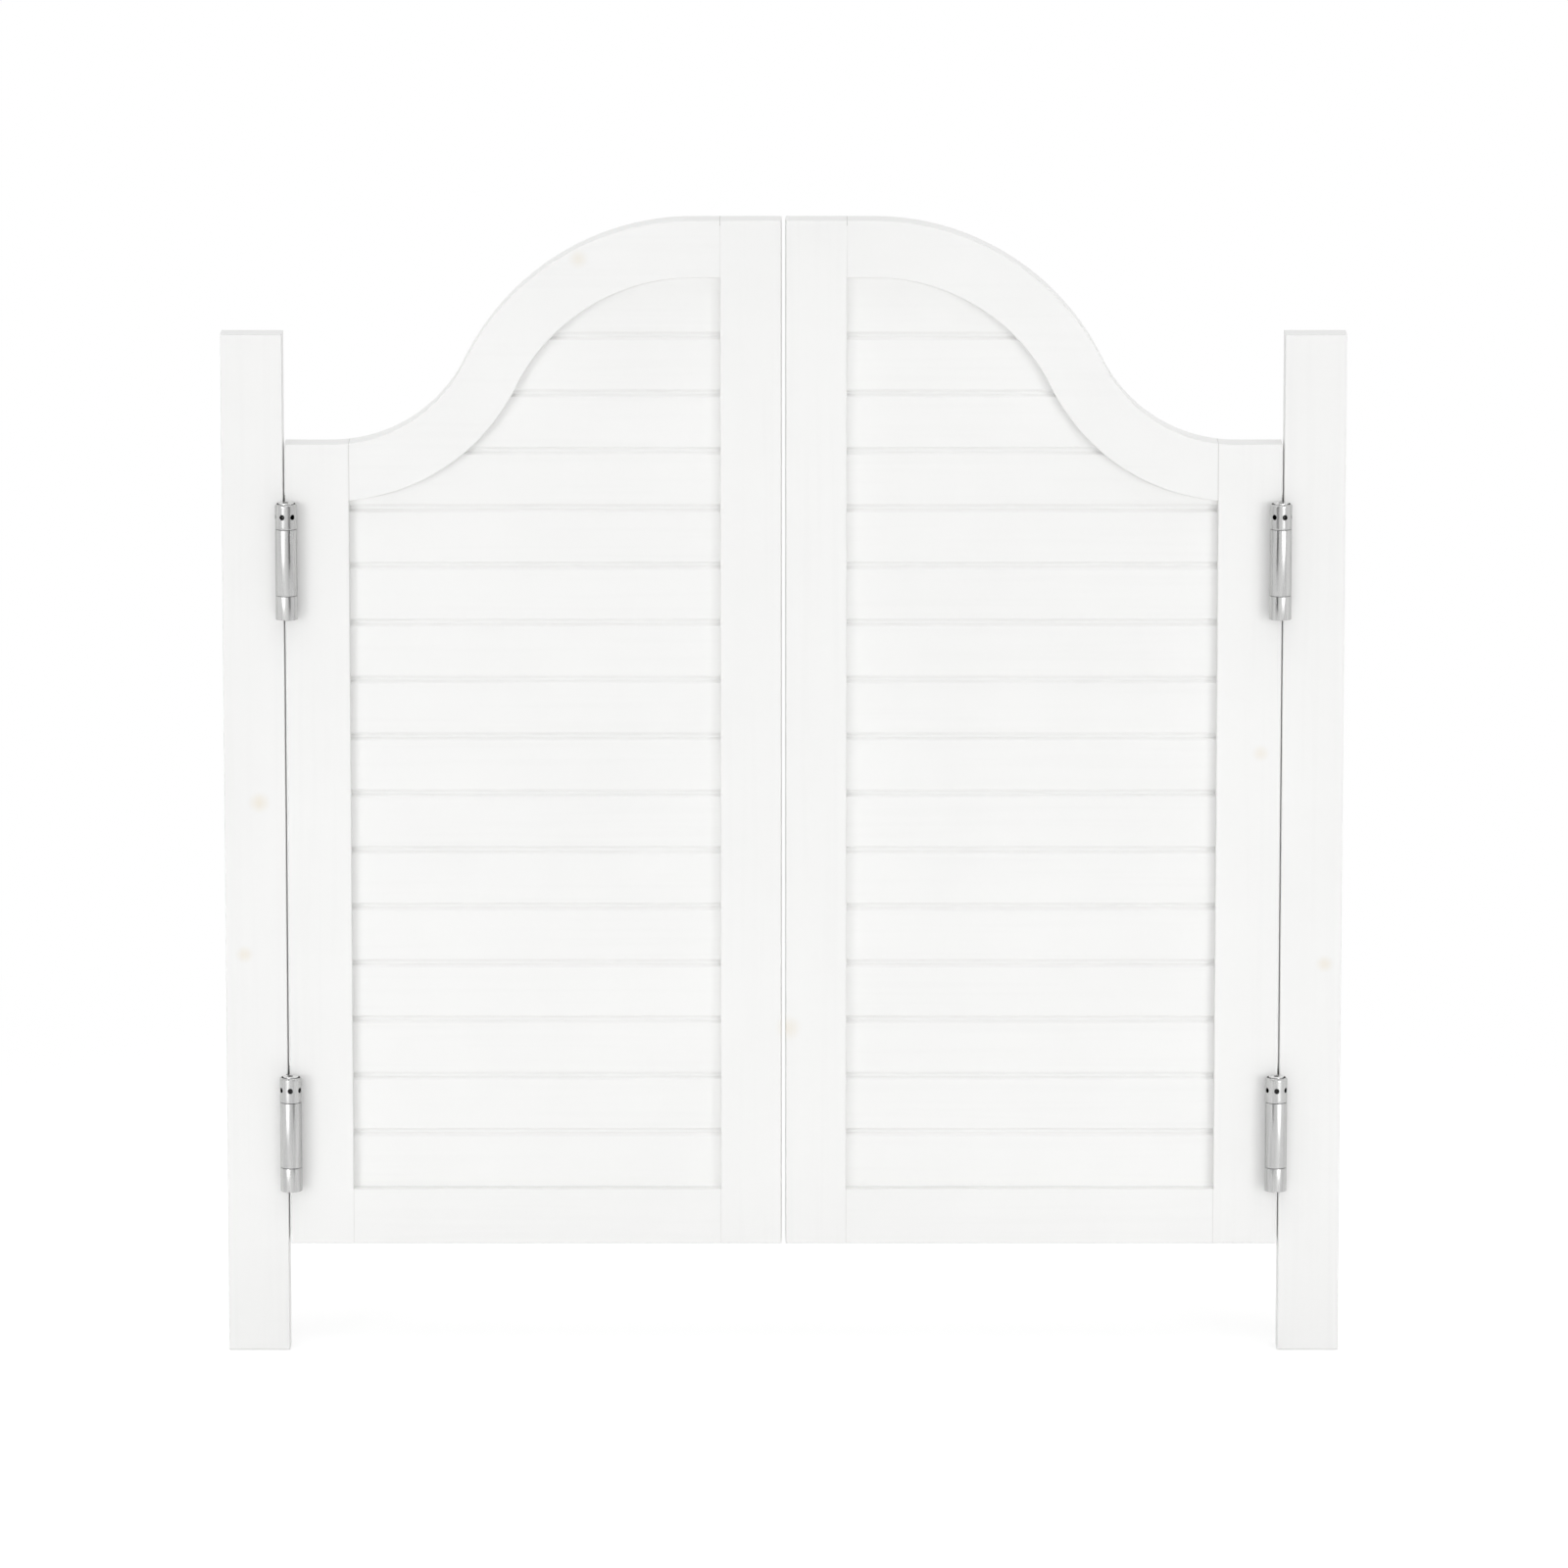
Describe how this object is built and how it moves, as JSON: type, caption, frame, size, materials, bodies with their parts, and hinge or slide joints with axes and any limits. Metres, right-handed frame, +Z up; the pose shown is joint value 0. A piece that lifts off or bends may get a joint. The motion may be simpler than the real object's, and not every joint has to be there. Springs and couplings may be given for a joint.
{
  "type": "cafe swinging doors",
  "caption": "Pair of low swinging doors with an arched, boarded panel each, hung between two posts on double-action spring hinges that open both ways.",
  "frame": {"origin": "middle of the opening, at the middle of the timber's thickness, on the level of the feet of the posts", "axes": "+X across the opening to the right, -Y to the front, +Z up"},
  "size_m": [0.914, 0.066, 0.9385],
  "materials": {
    "painted_timber": "smooth white satin paint on planed softwood",
    "satin_steel": "satin stainless steel, drawn lengthways",
    "spring_steel": "dark oiled spring steel",
    "screw_steel": "bright zinc-plated steel"
  },
  "bodies": {
    "posts": {"left_post": "painted_timber", "left_jamb_leaves": "satin_steel", "left_jamb_screws": "screw_steel", "right_post": "painted_timber", "right_jamb_leaves": "satin_steel", "right_jamb_screws": "screw_steel"},
    "left_web": {"left_middle_leaves": "satin_steel", "left_tension_collars": "satin_steel", "left_hinge_pins": "satin_steel", "left_hinge_springs": "spring_steel"},
    "left_door": {"left_hinge_stile": "painted_timber", "left_meeting_stile": "painted_timber", "left_arch_rail": "painted_timber", "left_bottom_rail": "painted_timber", "left_board_01": "painted_timber", "left_board_02": "painted_timber", "left_board_03": "painted_timber", "left_board_04": "painted_timber", "left_board_05": "painted_timber", "left_board_06": "painted_timber", "left_board_07": "painted_timber", "left_board_08": "painted_timber", "left_board_09": "painted_timber", "left_board_10": "painted_timber", "left_board_11": "painted_timber", "left_board_12": "painted_timber", "left_board_13": "painted_timber", "left_board_14": "painted_timber", "left_board_15": "painted_timber", "left_board_16": "painted_timber", "left_door_leaves": "satin_steel", "left_door_screws": "screw_steel"},
    "right_web": {"right_middle_leaves": "satin_steel", "right_tension_collars": "satin_steel", "right_hinge_pins": "satin_steel", "right_hinge_springs": "spring_steel"},
    "right_door": {"right_hinge_stile": "painted_timber", "right_meeting_stile": "painted_timber", "right_arch_rail": "painted_timber", "right_bottom_rail": "painted_timber", "right_board_01": "painted_timber", "right_board_02": "painted_timber", "right_board_03": "painted_timber", "right_board_04": "painted_timber", "right_board_05": "painted_timber", "right_board_06": "painted_timber", "right_board_07": "painted_timber", "right_board_08": "painted_timber", "right_board_09": "painted_timber", "right_board_10": "painted_timber", "right_board_11": "painted_timber", "right_board_12": "painted_timber", "right_board_13": "painted_timber", "right_board_14": "painted_timber", "right_board_15": "painted_timber", "right_board_16": "painted_timber", "right_door_leaves": "satin_steel", "right_door_screws": "screw_steel"}
  },
  "joints": [
    {"name": "left_front_barrels", "type": "hinge", "parent": "posts", "child": "left_web", "pos_m": [-0.4042, -0.024, 0.4225], "axis": [0, 0, -1], "range_deg": [0, 90], "stiffness_Nm_per_rad": 0.9, "springref_deg": -40.11},
    {"name": "left_back_barrels", "type": "hinge", "parent": "left_web", "child": "left_door", "pos_m": [-0.4042, 0.024, 0.4225], "axis": [0, 0, 1], "range_deg": [0, 90], "stiffness_Nm_per_rad": 0.9, "springref_deg": -40.11},
    {"name": "right_back_barrels", "type": "hinge", "parent": "posts", "child": "right_web", "pos_m": [0.4042, 0.024, 0.4225], "axis": [0, 0, -1], "range_deg": [0, 90], "stiffness_Nm_per_rad": 0.9, "springref_deg": -40.11},
    {"name": "right_front_barrels", "type": "hinge", "parent": "right_web", "child": "right_door", "pos_m": [0.4042, -0.024, 0.4225], "axis": [0, 0, 1], "range_deg": [0, 90], "stiffness_Nm_per_rad": 0.9, "springref_deg": -40.11}
  ]
}
